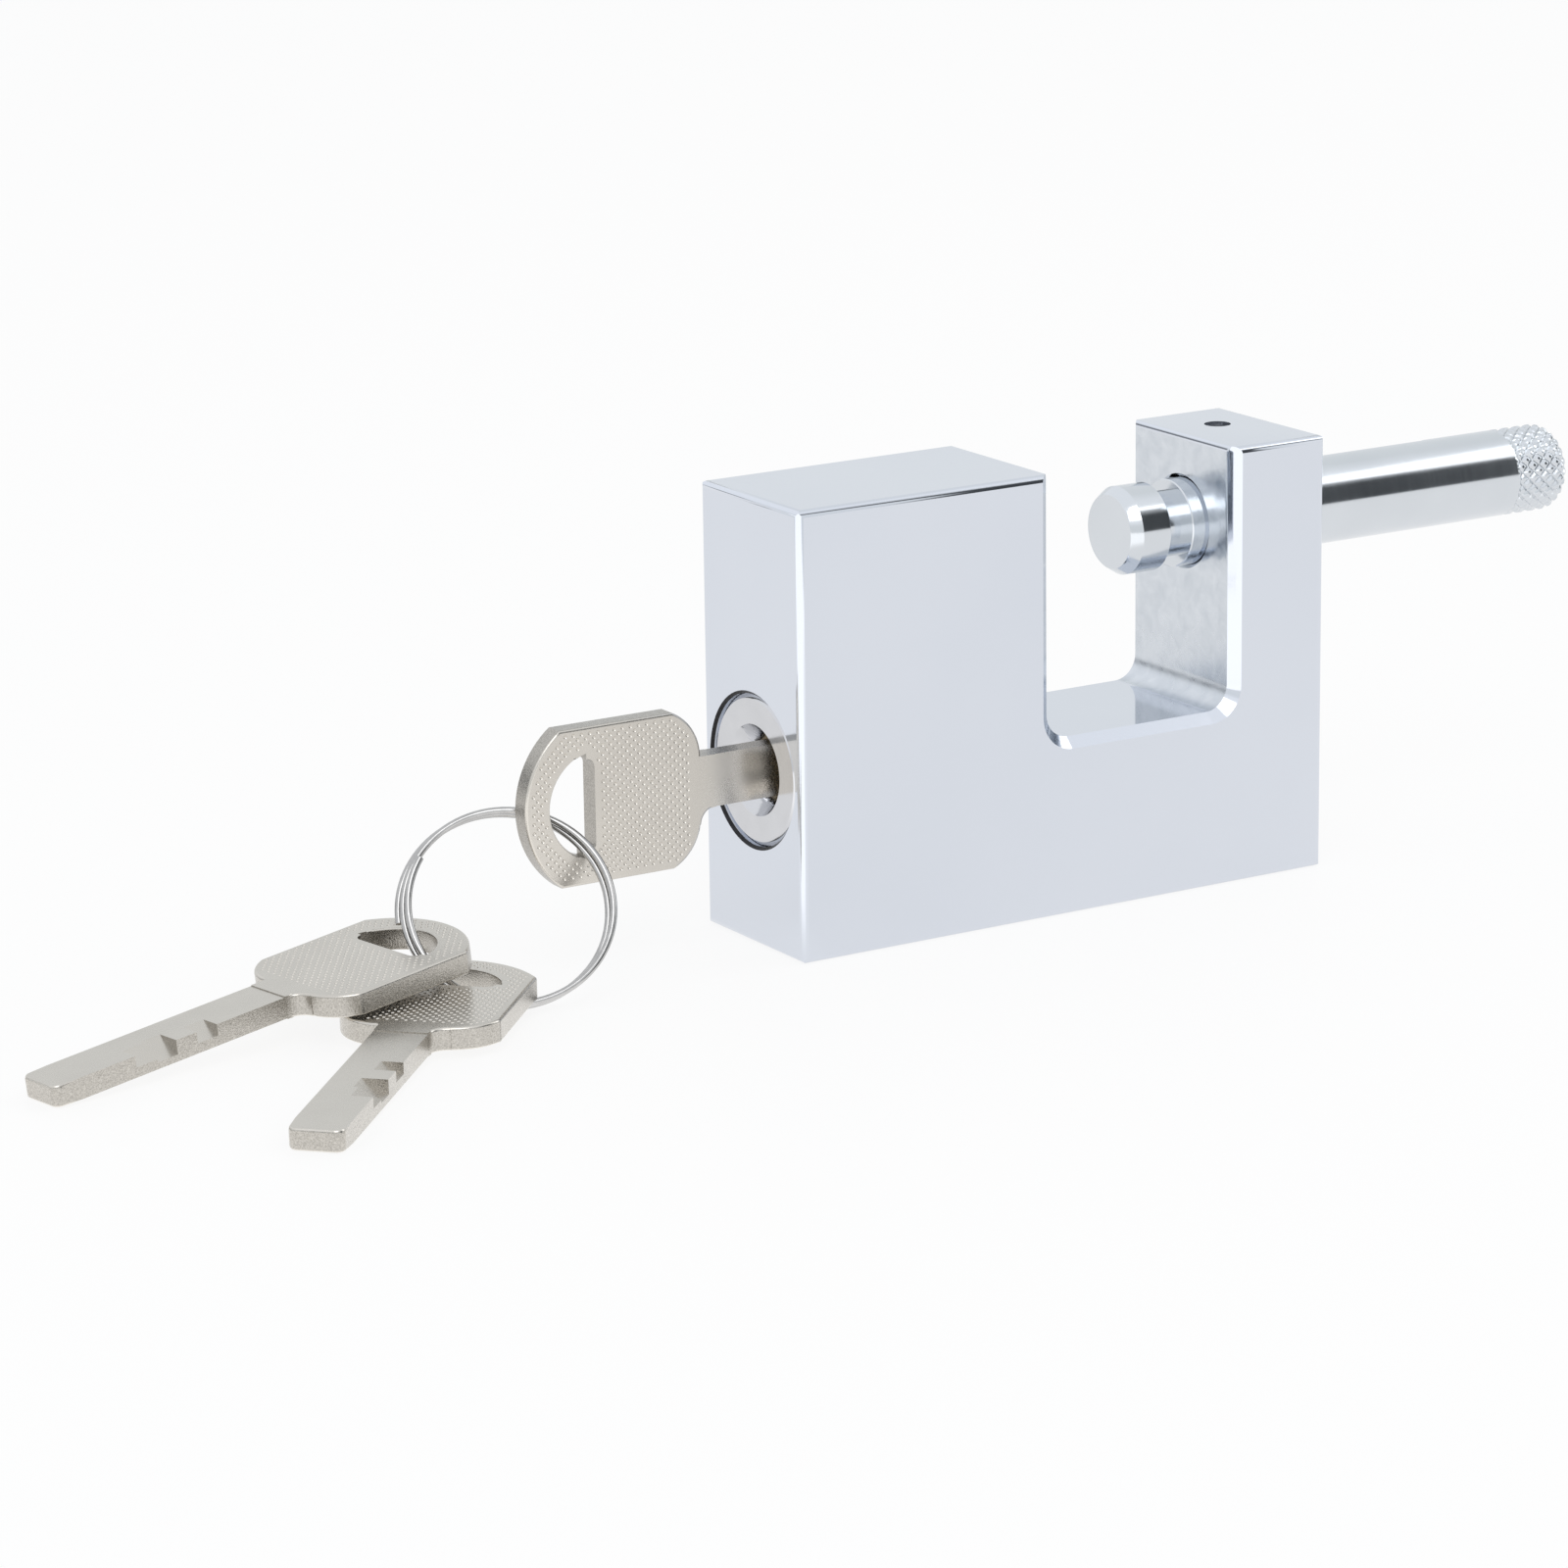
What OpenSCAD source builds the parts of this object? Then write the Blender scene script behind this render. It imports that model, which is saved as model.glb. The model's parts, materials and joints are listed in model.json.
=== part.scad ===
// Block padlock with a straight sliding bolt, shown unlocked with its bolt pulled out,
// a key in its disc cylinder, and a split ring that carries two more keys.
// The origin is the middle of the block's bottom face. +X runs from the keyhole face
// to the bolt's knurled end, +Y is the back of the block and +Z is up.

/* [Block] */
// Width of the block, from the keyhole face to the bolt face
body_w = 83.4; // [80:0.1:100]
// Depth of the block, front to back
body_d = 24.1; // [23:0.1:32]
// Height of the block
body_h = 60; // [56:0.5:72]
// Clear width of the chain gap
gap_w = 29.3; // [26:0.1:31]
// Thickness of the tower that guides the bolt
guide_tower_w = 15.1; // [12:0.1:18]
// Height of the chain gap's floor
gap_floor_h = 24.1; // [20:0.1:28]
// Corner radius at the foot of the chain gap
gap_r = 3.4; // [2:0.1:8]
// Chamfer along the chain gap's front and back edges
gap_chamfer = 1.4; // [0.4:0.1:2]
// Rounding of the block's outer edges
edge_r = 1; // [0.4:0.1:1.6]
// Broken edge at the mouths of the bores
bore_chamfer = 0.4; // [0.2:0.1:0.8]

/* [Bolt] */
// Diameter of the bolt
bolt_d = 12; // [10:0.1:13]
// Overall length of the bolt
bolt_len = 74.4; // [72:0.1:90]
// Height of the bolt's axis
bolt_axis_h = 48; // [46:0.1:50]
// How far the closed bolt reaches into the lock tower
bolt_seat = 15.6; // [13:0.1:17]
// How far the bolt is pulled out in the position shown
bolt_pull = 33.1; // [20:0.1:34]
// Travel that is left before the stop pin holds the bolt
bolt_spare = 6; // [2:0.1:7]
// Length of the chamfer at the tip
tip_chamfer = 1.5; // [0.5:0.1:2.5]
// Depth of the chamfer at the tip
tip_chamfer_depth = 0.85; // [0.3:0.05:1.4]
// Distance from the tip to the latch groove
groove_inset = 6; // [5:0.1:7]
// Width of the latch groove
groove_w = 3.5; // [3.3:0.1:4.5]
// Depth of the latch groove
groove_depth = 1.5; // [1.2:0.1:2]
// Rounding of the bolt's outer end
bolt_end_r = 2.2; // [0.5:0.1:4]

/* [Stop pin] */
// Diameter of the pin that keeps the bolt in its tower
stop_pin_d = 3.5; // [2.5:0.1:4]
// Distance of the stop pin from the bolt face
stop_pin_inset = 7.4; // [6:0.1:9]
// Offset of the stop pin behind the bolt's axis
stop_pin_back = 2.4; // [1.5:0.1:3]
// Height of the bolt's retaining slot above the bolt's axis
stop_slot_h = 3.6; // [3:0.1:4.5]
// How far the stop pin lies below the top face
stop_pin_recess = 0.8; // [0.2:0.1:2]

/* [Cylinder] */
// Height of the cylinder's axis
cyl_axis_h = 23.5; // [22:0.1:25]
// Outer diameter of the cylinder barrel
cyl_d = 20.2; // [19:0.1:22]
// How far the barrel's face lies below the keyhole face
face_recess = 0.4; // [0.1:0.1:1.5]
// Thickness of the barrel's front wall
front_wall = 4; // [3:0.1:5]
// Width of the keyhole's countersink
sink_d = 12.2; // [10:0.1:14]
// Depth of the keyhole's countersink
sink_depth = 2.6; // [1:0.1:3]
// Diameter of the round keyhole
keyhole_d = 8.7; // [8.2:0.1:9.4]
// Chamfer on the barrel's front rim
rim_chamfer = 0.6; // [0.2:0.1:1]

/* [Drum and discs] */
// Outer diameter of the drum
drum_d = 14; // [13.6:0.1:15]
// Wall of the drum
drum_wall = 1.25; // [1:0.05:1.5]
// Thickness of the spacers between the discs
spacer_t = 0.7; // [0.4:0.05:1]
// Width of the sidebar
sidebar_w = 1.6; // [1.2:0.1:2]
// Height of the sidebar
sidebar_h = 1.7; // [1.5:0.1:2]
// How far the sidebar drops into the discs' gates
gate_depth = 0.6; // [0.4:0.05:0.8]
// Lift that the drum's cam gives the latch
cam_lift = 1.75; // [1.6:0.05:1.9]

/* [Latch] */
// Diameter of the latch pin's body
latch_d = 5; // [4.6:0.1:5.6]
// Diameter of the latch pin's nose
nose_d = 3; // [2.6:0.1:3.2]
// Diameter of the latch pin's round foot
foot_d = 3.6; // [3:0.1:4]
// Height of the room for the latch spring
spring_room = 4.2; // [3.6:0.1:5]
// Wire diameter of the latch spring
spring_wire = 0.5; // [0.4:0.05:0.6]
// Turns of the latch spring
spring_turns = 4; // [3:1:5]
// Diameter of the pin that holds the barrel
barrel_pin_d = 5; // [4:0.1:6]

/* [Keys] */
// Overall length of a key
key_len = 63.2; // [60:0.1:75]
// Thickness of a key
key_t = 3; // [2.4:0.1:3.4]
// Width of the blade
blade_w = 7; // [6:0.1:7.4]
// Length of the bow, up to the shoulder
bow_len = 26; // [24:0.1:28]
// Height of the bow
bow_h = 20.8; // [18:0.1:24]
// Offset of the bow from the blade's axis
bow_drop = 0.5; // [0:0.1:1]
// Radius of the bow's rounded outer edge
bow_end_r = 13; // [12:0.1:16]
// Radius of the bow's two curves at the shoulder
shoulder_r = 7; // [6:0.1:9]
// Length of those curves along the bow's straight edges
shoulder_run = 4.2; // [3:0.1:5]
// Fillet where the bow's lower side runs into the blade
neck_r = 2.2; // [1:0.1:2.4]
// Radius of the ring hole's round side
hole_r = 7.2; // [6.8:0.1:7.6]
// Width of the ring hole
hole_w = 6.6; // [6.2:0.1:7]
// Rim between the ring hole and the bow's outer edge
hole_rim = 3.6; // [3:0.1:4.4]
// Corner radius of the ring hole and of the blade's tip
small_r = 1.2; // [0.6:0.1:1.6]

/* [Ring and loose keys] */
// Outer diameter of the split ring
ring_d = 27.4; // [26.8:0.1:29]
// Wire diameter of the split ring
ring_wire = 0.95; // [0.8:0.05:1.1]
// Heading of the ring's lower edge, seen from above
ring_heading = -23; // [-24:1:-22]
// Place on the ring where it hangs in the first key
hang_angle = 48; // [47:0.5:49]
// Place on the ring where the upper loose key hangs
upper_key_angle = 200.7; // [200:0.1:202]
// Heading of the upper loose key
upper_key_heading = 190; // [188:1:192]
// Sideways lean of the upper loose key
upper_key_roll = 0.4; // [0:0.1:1]
// Place on the ring where the lower loose key hangs
lower_key_angle = 231; // [230:0.5:232]
// Heading of the lower loose key
lower_key_heading = 225; // [224:0.5:226]

/* [Hidden] */
DISC_COUNT = 8;
$fn = 64;
// Clearances: turned parts that slide or turn, seated parts, and the key in its slots
run_clear = 0.08;
seat_clear = 0.05;
key_clear = 0.1;
end_clear = 0.2;
// Cuts run past a face by this much
past = 1;

left_x = -body_w / 2;
right_x = body_w / 2;
gap_right_x = right_x - guide_tower_w;
gap_left_x = gap_right_x - gap_w;

bolt_r = bolt_d / 2;
bolt_bore_r = bolt_r + run_clear;
closed_tip_x = gap_left_x - bolt_seat;
open_tip_x = closed_tip_x + bolt_pull;
latch_x = closed_tip_x + groove_inset + groove_w / 2;
stop_pin_x = right_x - stop_pin_inset;
stop_pin_floor = bolt_axis_h + stop_slot_h;

shell_r = cyl_d / 2;
drum_r = drum_d / 2;
drum_bore_r = drum_r - drum_wall;
disc_r = drum_bore_r - seat_clear;
cam_low_r = drum_r - seat_clear - cam_lift;
shell_x = left_x + face_recess;
pack_x = shell_x + front_wall + end_clear;
cam_margin = 0.45;
pack_end_x = latch_x - foot_d / 2 - cam_margin - end_clear;
disc_t = (pack_end_x - pack_x - (DISC_COUNT - 1) * spacer_t) / DISC_COUNT;
drum_end_x = latch_x + latch_d / 2 + 0.75;
shell_end_x = drum_end_x + end_clear;
gate_floor_r = disc_r - gate_depth;
sidebar_inset = 0.8;

latch_r = latch_d / 2;
latch_bore_r = latch_r + run_clear;
nose_bore_r = nose_d / 2 + run_clear;
foot_r = foot_d / 2;
foot_z = cyl_axis_h + cam_low_r + run_clear + foot_r;
nose_gap = 0.45;
nose_top = bolt_axis_h - bolt_r - nose_gap;
spring_step_h = bolt_axis_h - bolt_bore_r - 1;
latch_shoulder_h = spring_step_h - spring_room;

bow_top = bow_h / 2;
blade_r = blade_w / 2;
// The key goes in until its tip meets the drum's floor or its shoulder meets the face
key_tip_x = min(pack_end_x - key_clear, left_x - end_clear + key_len - bow_len);
key_end_x = key_tip_x - key_len;
// Depth step of the cut at each disc, from the tip towards the bow
key_cuts = [0, 0, 0, 0, 1, 2, 0, 1];
cut_base_across = 2.4;
cut_step_across = 0.6;
cut_base_down = 1.2;
cut_step_down = 0.4;

ring_r = (ring_d - ring_wire) / 2;
ring_pitch = ring_wire + seat_clear;
ring_turns = 2.1;
// Lowest point of the wire's middle line, so that the outer turn meets the ground
ring_foot_h = 1;
// Where the wire passes through the first key's hole, along and across that key
hang_u = 7.2;
hang_v = -4;
hang_point = [key_end_x + hang_u, 0, cyl_axis_h + hang_v];
// The ring leans until it meets the ground
ring_lean = acos((hang_point.z - ring_foot_h) / (ring_r * (1 + sin(hang_angle))));
ring_across = [cos(ring_heading), sin(ring_heading), 0];
ring_up = [-sin(ring_heading) * sin(ring_lean), cos(ring_heading) * sin(ring_lean), cos(ring_lean)];
ring_centre = hang_point - ring_offset(hang_angle);
// Where the wire passes through the loose keys' holes, along and across those keys
upper_hole = [5.8, 0.65];
lower_hole = [7, -0.15];
tip_lift = 0.05;

function ring_offset(a) = ring_r * (cos(a) * ring_across + sin(a) * ring_up);

// Slope at which a loose key leans from the ring down to its tip on the ground
function key_slope(point, hole) = asin((point.z - key_t / 2 - tip_lift) / (key_len - hole.x));

// Rectangle about the origin with round corners
module round_rect(w, h, r) {
    square([w - 2 * r, h], center = true);
    square([w, h - 2 * r], center = true);
    for (x = [-1, 1], y = [-1, 1])
        translate([x * (w / 2 - r), y * (h / 2 - r)]) circle(r);
}

// Cylinder along +X from x, on the axis at height z
module rod_x(x, z, length, r) {
    translate([x, 0, z]) rotate([0, 90, 0]) cylinder(h = length, r = r);
}

// Cone that breaks the edge of a bore of radius r at the face x, narrowing towards side
module broken_edge(x, z, r, side) {
    translate([x - side * past, 0, z]) rotate([0, side * 90, 0])
        cylinder(h = bore_chamfer + past, r1 = r + bore_chamfer + past, r2 = r);
}

// Wire coil about Z, of turns that start at z = 0
module wire_coil(coil_r, wire_r, pitch, turns, steps, sides) {
    rings = round(turns * steps);
    points = [
        for (i = [0:rings], j = [0:sides - 1])
        let (a = 360 * turns * i / rings, b = 360 * j / sides, r = coil_r + wire_r * cos(b))
        [r * cos(a), r * sin(a), pitch * turns * i / rings + wire_r * sin(b)]
    ];
    walls = [
        for (i = [0:rings - 1], j = [0:sides - 1])
        let (k = (j + 1) % sides)
        [i * sides + j, i * sides + k, (i + 1) * sides + k, (i + 1) * sides + j]
    ];
    start_cap = [[for (j = [sides - 1:-1:0]) j]];
    end_cap = [[for (j = [0:sides - 1]) rings * sides + j]];
    polyhedron(points, concat(walls, start_cap, end_cap));
}

// Outline of the chain gap, seen from the front
module gap_outline() {
    middle = (gap_left_x + gap_right_x) / 2;
    height = body_h - gap_floor_h + past;
    translate([middle - gap_w / 2, gap_floor_h + gap_r]) square([gap_w, height - gap_r]);
    translate([middle - gap_w / 2 + gap_r, gap_floor_h]) square([gap_w - 2 * gap_r, height]);
    for (x = [gap_left_x + gap_r, gap_right_x - gap_r])
        translate([x, gap_floor_h + gap_r]) circle(gap_r);
}

// Cutter for the chamfer along the gap's front edge, its walls, floor and corners
module gap_edge_cutter() {
    c = gap_chamfer;
    corner_h = gap_floor_h + gap_r;
    wall_h = body_h - corner_h + past;
    front = c + past;
    translate([0, -body_d / 2, corner_h]) linear_extrude(wall_h) polygon([
        [gap_left_x - front, -past], [gap_right_x + front, -past], [gap_right_x, c], [gap_left_x, c]
    ]);
    translate([gap_left_x + gap_r, -body_d / 2, gap_floor_h]) rotate([90, 0, 90])
        linear_extrude(gap_w - 2 * gap_r) polygon([[-past, -front], [c, 0], [c, gap_r], [-past, gap_r]]);
    for (x = [gap_left_x + gap_r, gap_right_x - gap_r])
        translate([x, -body_d / 2 - past, corner_h]) rotate([-90, 0, 0])
            cylinder(h = front, r1 = gap_r + front, r2 = gap_r);
}

// Block with round outer edges, before it is bored
module block_blank() {
    intersection() {
        translate([0, body_d / 2, 0]) rotate([90, 0, 0]) linear_extrude(body_d) difference() {
            translate([0, body_h / 2]) round_rect(body_w, body_h, edge_r);
            gap_outline();
        }
        linear_extrude(body_h) round_rect(body_w, body_d, edge_r);
        translate([left_x, 0, body_h / 2]) rotate([90, 0, 90])
            linear_extrude(body_w) round_rect(body_d, body_h, edge_r);
    }
}

module lock_body() {
    color("gainsboro") difference() {
        block_blank();
        for (side = [0, 1]) mirror([0, side, 0]) gap_edge_cutter();
        // Bolt bore, blind in the lock tower and open through the guide tower
        rod_x(closed_tip_x - end_clear, bolt_axis_h, body_w, bolt_bore_r);
        broken_edge(gap_left_x, bolt_axis_h, bolt_bore_r, -1);
        broken_edge(gap_right_x, bolt_axis_h, bolt_bore_r, 1);
        broken_edge(right_x, bolt_axis_h, bolt_bore_r, -1);
        rod_x(left_x - past, cyl_axis_h, shell_end_x - left_x + past, shell_r + seat_clear);
        broken_edge(left_x, cyl_axis_h, shell_r + seat_clear, 1);
        // Latch bore with the step that the spring bears on
        translate([latch_x, 0, cyl_axis_h]) cylinder(h = spring_step_h - cyl_axis_h, r = latch_bore_r);
        translate([latch_x, 0, cyl_axis_h]) cylinder(h = bolt_axis_h - cyl_axis_h, r = nose_bore_r);
        translate([latch_x, 0, -past])
            cylinder(h = cyl_axis_h, r = barrel_pin_d / 2 + seat_clear);
        translate([stop_pin_x, stop_pin_back, bolt_axis_h])
            cylinder(h = body_h, r = stop_pin_d / 2 + seat_clear);
    }
}

// Half profile of the turned bolt, from its tip at y = 0
module bolt_profile() {
    difference() {
        union() {
            square([bolt_r, bolt_len - bolt_end_r]);
            square([bolt_r - bolt_end_r, bolt_len]);
            translate([bolt_r - bolt_end_r, bolt_len - bolt_end_r]) intersection() {
                circle(bolt_end_r);
                square(bolt_end_r);
            }
        }
        polygon([[bolt_r - tip_chamfer_depth, 0], [bolt_r, tip_chamfer], [bolt_r + past, tip_chamfer],
            [bolt_r + past, -past], [bolt_r - tip_chamfer_depth, -past]]);
        translate([bolt_r - groove_depth, groove_inset]) square([groove_depth + past, groove_w]);
    }
}

module shackle_bolt() {
    slot_r = stop_pin_d / 2 + run_clear;
    slot_start = stop_pin_x - open_tip_x - bolt_spare;
    slot_run = bolt_spare + bolt_pull;
    color("lightsteelblue") difference() {
        translate([open_tip_x, 0, bolt_axis_h]) rotate([0, 90, 0]) rotate_extrude() bolt_profile();
        // Slot that the stop pin runs in, on the upper back side
        translate([open_tip_x + slot_start, stop_pin_back, stop_pin_floor - seat_clear]) {
            cylinder(h = bolt_d, r = slot_r);
            translate([slot_run, 0, 0]) cylinder(h = bolt_d, r = slot_r);
            translate([0, -slot_r, 0]) cube([slot_run, 2 * slot_r, bolt_d]);
        }
    }
}

module bolt_stop_pin() {
    color("dimgray") translate([stop_pin_x, stop_pin_back, stop_pin_floor])
        cylinder(h = body_h - stop_pin_recess - stop_pin_floor, r = stop_pin_d / 2);
}

module cylinder_shell() {
    groove_w = sidebar_w + 2 * key_clear;
    groove_r = gate_floor_r + sidebar_h + 0.5;
    sidebar_run = pack_end_x - pack_x - 2 * sidebar_inset;
    color("silver") difference() {
        rod_x(shell_x, cyl_axis_h, shell_end_x - shell_x - seat_clear, shell_r);
        // Chamfered front rim
        translate([shell_x, 0, cyl_axis_h]) rotate([0, 90, 0]) difference() {
            translate([0, 0, -past]) cylinder(h = rim_chamfer + past, r = shell_r + past);
            cylinder(h = rim_chamfer, r1 = shell_r - rim_chamfer, r2 = shell_r);
            translate([0, 0, -past]) cylinder(h = past, r = shell_r - rim_chamfer);
        }
        // Countersunk keyhole
        translate([shell_x, 0, cyl_axis_h]) rotate([0, 90, 0])
            cylinder(h = sink_depth, r1 = sink_d / 2, r2 = keyhole_d / 2);
        rod_x(shell_x - past, cyl_axis_h, front_wall + 2 * past, keyhole_d / 2);
        rod_x(shell_x + front_wall, cyl_axis_h, body_w, drum_r + seat_clear);
        // Groove that takes the sidebar when the drum stands locked
        translate([pack_x + sidebar_inset, -groove_r, cyl_axis_h - groove_w / 2])
            cube([sidebar_run, groove_r, groove_w]);
        translate([latch_x, 0, cyl_axis_h]) cylinder(h = cyl_d, r = latch_bore_r);
        translate([latch_x, 0, cyl_axis_h - cyl_d])
            cylinder(h = cyl_d, r = barrel_pin_d / 2 + seat_clear);
    }
}

module barrel_pin() {
    recess = 0.6;
    top = cyl_axis_h - drum_r - 2 * end_clear;
    color("slategray") translate([latch_x, 0, recess])
        cylinder(h = top - recess, r = barrel_pin_d / 2);
}

// Relief that leaves a cam on the drum's tail, seen from the keyhole face: it is low
// at the top and rises evenly over a quarter turn towards the front
module cam_relief() {
    start = 62;
    stop = 206;
    step = 6;
    outer_r = drum_r + past;
    low_side = [
        for (a = [start:step:stop])
        let (r = cam_low_r + cam_lift * max(0, min(1, (a - 90) / 90)))
        r * [cos(a), sin(a)]
    ];
    high_side = [for (a = [stop:-step:start]) outer_r * [cos(a), sin(a)]];
    polygon(concat(low_side, high_side));
}

module disc_drum() {
    sidebar_run = pack_end_x - pack_x - 2 * sidebar_inset;
    slot_w = sidebar_w + 2 * seat_clear;
    color("goldenrod") difference() {
        rod_x(pack_x, cyl_axis_h, drum_end_x - pack_x, drum_r);
        rod_x(pack_x - past, cyl_axis_h, pack_end_x - pack_x + past, drum_bore_r);
        translate([pack_x + sidebar_inset, -slot_w / 2, cyl_axis_h - drum_r - past])
            cube([sidebar_run, slot_w, drum_r]);
        translate([pack_end_x, 0, cyl_axis_h]) rotate([90, 0, 90])
            linear_extrude(drum_end_x - pack_end_x + past) cam_relief();
    }
}

// Gate that the sidebar drops into, at the bottom of a disc or spacer
module sidebar_gate(x, thickness) {
    gate_w = sidebar_w + 2 * key_clear;
    translate([x - past, -gate_w / 2, cyl_axis_h - gate_floor_r - disc_r])
        cube([thickness + 2 * past, gate_w, disc_r]);
}

// Disc with a slot that fits the blade, counted from the keyhole
module locking_disc(index) {
    x = pack_x + (index - 1) * (disc_t + spacer_t);
    slot_h = blade_w + 2 * key_clear;
    slot_w = key_t + 2 * key_clear;
    color("darkkhaki") difference() {
        rod_x(x, cyl_axis_h, disc_t, disc_r);
        translate([x - past, -slot_w / 2, cyl_axis_h - slot_h / 2])
            cube([disc_t + 2 * past, slot_w, slot_h]);
        sidebar_gate(x, disc_t);
    }
}

module disc_spacer(index) {
    x = pack_x + index * disc_t + (index - 1) * spacer_t;
    color("peru") difference() {
        rod_x(x, cyl_axis_h, spacer_t, disc_r);
        rod_x(x - past, cyl_axis_h, spacer_t + 2 * past, keyhole_d / 2);
        sidebar_gate(x, spacer_t);
    }
}

module sidebar() {
    run = pack_end_x - pack_x - 2 * sidebar_inset - 2 * seat_clear;
    color("lightgray")
        translate([pack_x + sidebar_inset + seat_clear, -sidebar_w / 2, cyl_axis_h - gate_floor_r - sidebar_h])
        cube([run, sidebar_w, sidebar_h - seat_clear]);
}

module latch_pin() {
    body_foot_h = cyl_axis_h + drum_r + 2 * end_clear;
    color("lightslategray") translate([latch_x, 0, 0]) {
        translate([0, 0, foot_z]) sphere(foot_r);
        translate([0, 0, foot_z]) cylinder(h = body_foot_h - foot_z + past, r = foot_r);
        translate([0, 0, body_foot_h]) cylinder(h = latch_shoulder_h - body_foot_h, r = latch_r);
        translate([0, 0, body_foot_h]) cylinder(h = nose_top - body_foot_h, r = nose_d / 2);
    }
}

module latch_spring() {
    coil_r = (latch_bore_r + nose_d / 2) / 2;
    pitch = (spring_room - spring_wire - 2 * seat_clear) / spring_turns;
    color("darkgray")
        translate([latch_x, 0, latch_shoulder_h + spring_wire / 2 + seat_clear])
        wire_coil(coil_r, spring_wire / 2, pitch, spring_turns, 18, 8);
}

// Bow with a round outer edge and curves that meet its straight edges in a corner and
// run out into the shoulder
module bow_outline() {
    flat_x = bow_end_r - sqrt(pow(bow_end_r, 2) - pow(bow_top, 2));
    curve_rise = sqrt(pow(shoulder_r, 2) - pow(shoulder_r - shoulder_run, 2));
    curve_y = bow_top - curve_rise;
    translate([0, -bow_drop]) intersection() {
        translate([0, -bow_top]) square([bow_len, bow_h]);
        union() {
            translate([bow_end_r, 0]) circle(bow_end_r);
            translate([flat_x, -bow_top]) square([bow_len - shoulder_r - flat_x, bow_h]);
            translate([flat_x, -curve_y]) square([bow_len - flat_x, 2 * curve_y]);
            for (side = [-1, 1])
                translate([bow_len - shoulder_r, side * curve_y]) circle(shoulder_r);
        }
    }
}

module blade_outline() {
    length = key_len - bow_len;
    translate([bow_len - past, -blade_r]) square([length - small_r + past, blade_w]);
    translate([bow_len, small_r - blade_r]) square([length, blade_w - 2 * small_r]);
    for (side = [-1, 1]) translate([key_len - small_r, side * (blade_r - small_r)]) circle(small_r);
    difference() {
        translate([bow_len - past, -blade_r - neck_r]) square(neck_r + past);
        translate([bow_len + neck_r, -blade_r - neck_r]) circle(neck_r);
    }
}

// Half-round hole for the ring, with its flat side towards the blade
module ring_hole_outline() {
    flat_x = hole_rim + hole_w;
    corner_y = hole_r - 1 - small_r;
    translate([0, -bow_drop]) intersection() {
        translate([hole_rim + hole_r, 0]) circle(hole_r);
        union() {
            translate([0, -hole_r]) square([flat_x - small_r, 2 * hole_r]);
            translate([0, -corner_y]) square([flat_x, 2 * corner_y]);
            for (side = [-1, 1]) translate([flat_x - small_r, side * corner_y]) circle(small_r);
        }
    }
}

// Key with its bow's outer edge at the origin, its blade along +X and its back on z = 0
module key_shape() {
    pitch = disc_t + spacer_t;
    difference() {
        linear_extrude(key_t) difference() {
            union() {
                bow_outline();
                blade_outline();
            }
            ring_hole_outline();
        }
        // Cuts on one edge of each face, the same after half a turn about the blade
        for (i = [0:len(key_cuts) - 1], turn = [0, 180]) if (key_cuts[i] > 0) {
            across = cut_base_across + key_cuts[i] * cut_step_across;
            down = cut_base_down + key_cuts[i] * cut_step_down;
            translate([key_len - (i + 1) * pitch + spacer_t / 2, 0, key_t / 2]) rotate([turn, 0, 0])
                rotate([90, 0, 90]) linear_extrude(pitch) polygon([
                    [blade_r - across, key_t / 2], [blade_r, key_t / 2 - down],
                    [blade_r + past, key_t / 2 - down], [blade_r + past, key_t / 2 + past],
                    [blade_r - across, key_t / 2 + past]
                ]);
        }
    }
}

// Key whose hole the ring's wire passes through at the given point
module loose_key(angle, hole, heading, roll) {
    point = ring_centre + ring_offset(angle);
    translate(point) rotate([roll, key_slope(point, hole), heading])
        rotate([180, 0, 0]) translate([-hole.x, hole.y, -key_t / 2]) key_shape();
}

module key_1() {
    color("tan") translate([key_end_x, key_t / 2, cyl_axis_h]) rotate([90, 0, 0]) key_shape();
}

module key_2() {
    color("tan") loose_key(upper_key_angle, upper_hole, upper_key_heading, upper_key_roll);
}

module key_3() {
    color("tan") loose_key(lower_key_angle, lower_hole, lower_key_heading, 0);
}

module split_ring() {
    start_angle = 184;
    color("darkgray") translate(ring_centre) rotate([90 - ring_lean, 0, ring_heading])
        rotate([0, 0, start_angle]) translate([0, 0, -ring_pitch * ring_turns / 2])
        wire_coil(ring_r, ring_wire / 2, ring_pitch, ring_turns, 48, 10);
}

lock_body();
shackle_bolt();
bolt_stop_pin();
cylinder_shell();
barrel_pin();
disc_drum();
locking_disc(1);  // locking_disc_1
locking_disc(2);  // locking_disc_2
locking_disc(3);  // locking_disc_3
locking_disc(4);  // locking_disc_4
locking_disc(5);  // locking_disc_5
locking_disc(6);  // locking_disc_6
locking_disc(7);  // locking_disc_7
locking_disc(8);  // locking_disc_8
disc_spacer(1);  // disc_spacer_1
disc_spacer(2);  // disc_spacer_2
disc_spacer(3);  // disc_spacer_3
disc_spacer(4);  // disc_spacer_4
disc_spacer(5);  // disc_spacer_5
disc_spacer(6);  // disc_spacer_6
disc_spacer(7);  // disc_spacer_7
sidebar();
latch_pin();
latch_spring();
key_1();
key_2();
key_3();
split_ring();
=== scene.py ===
import json
import math

import bmesh
import bpy
from mathutils import Matrix, Vector


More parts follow.
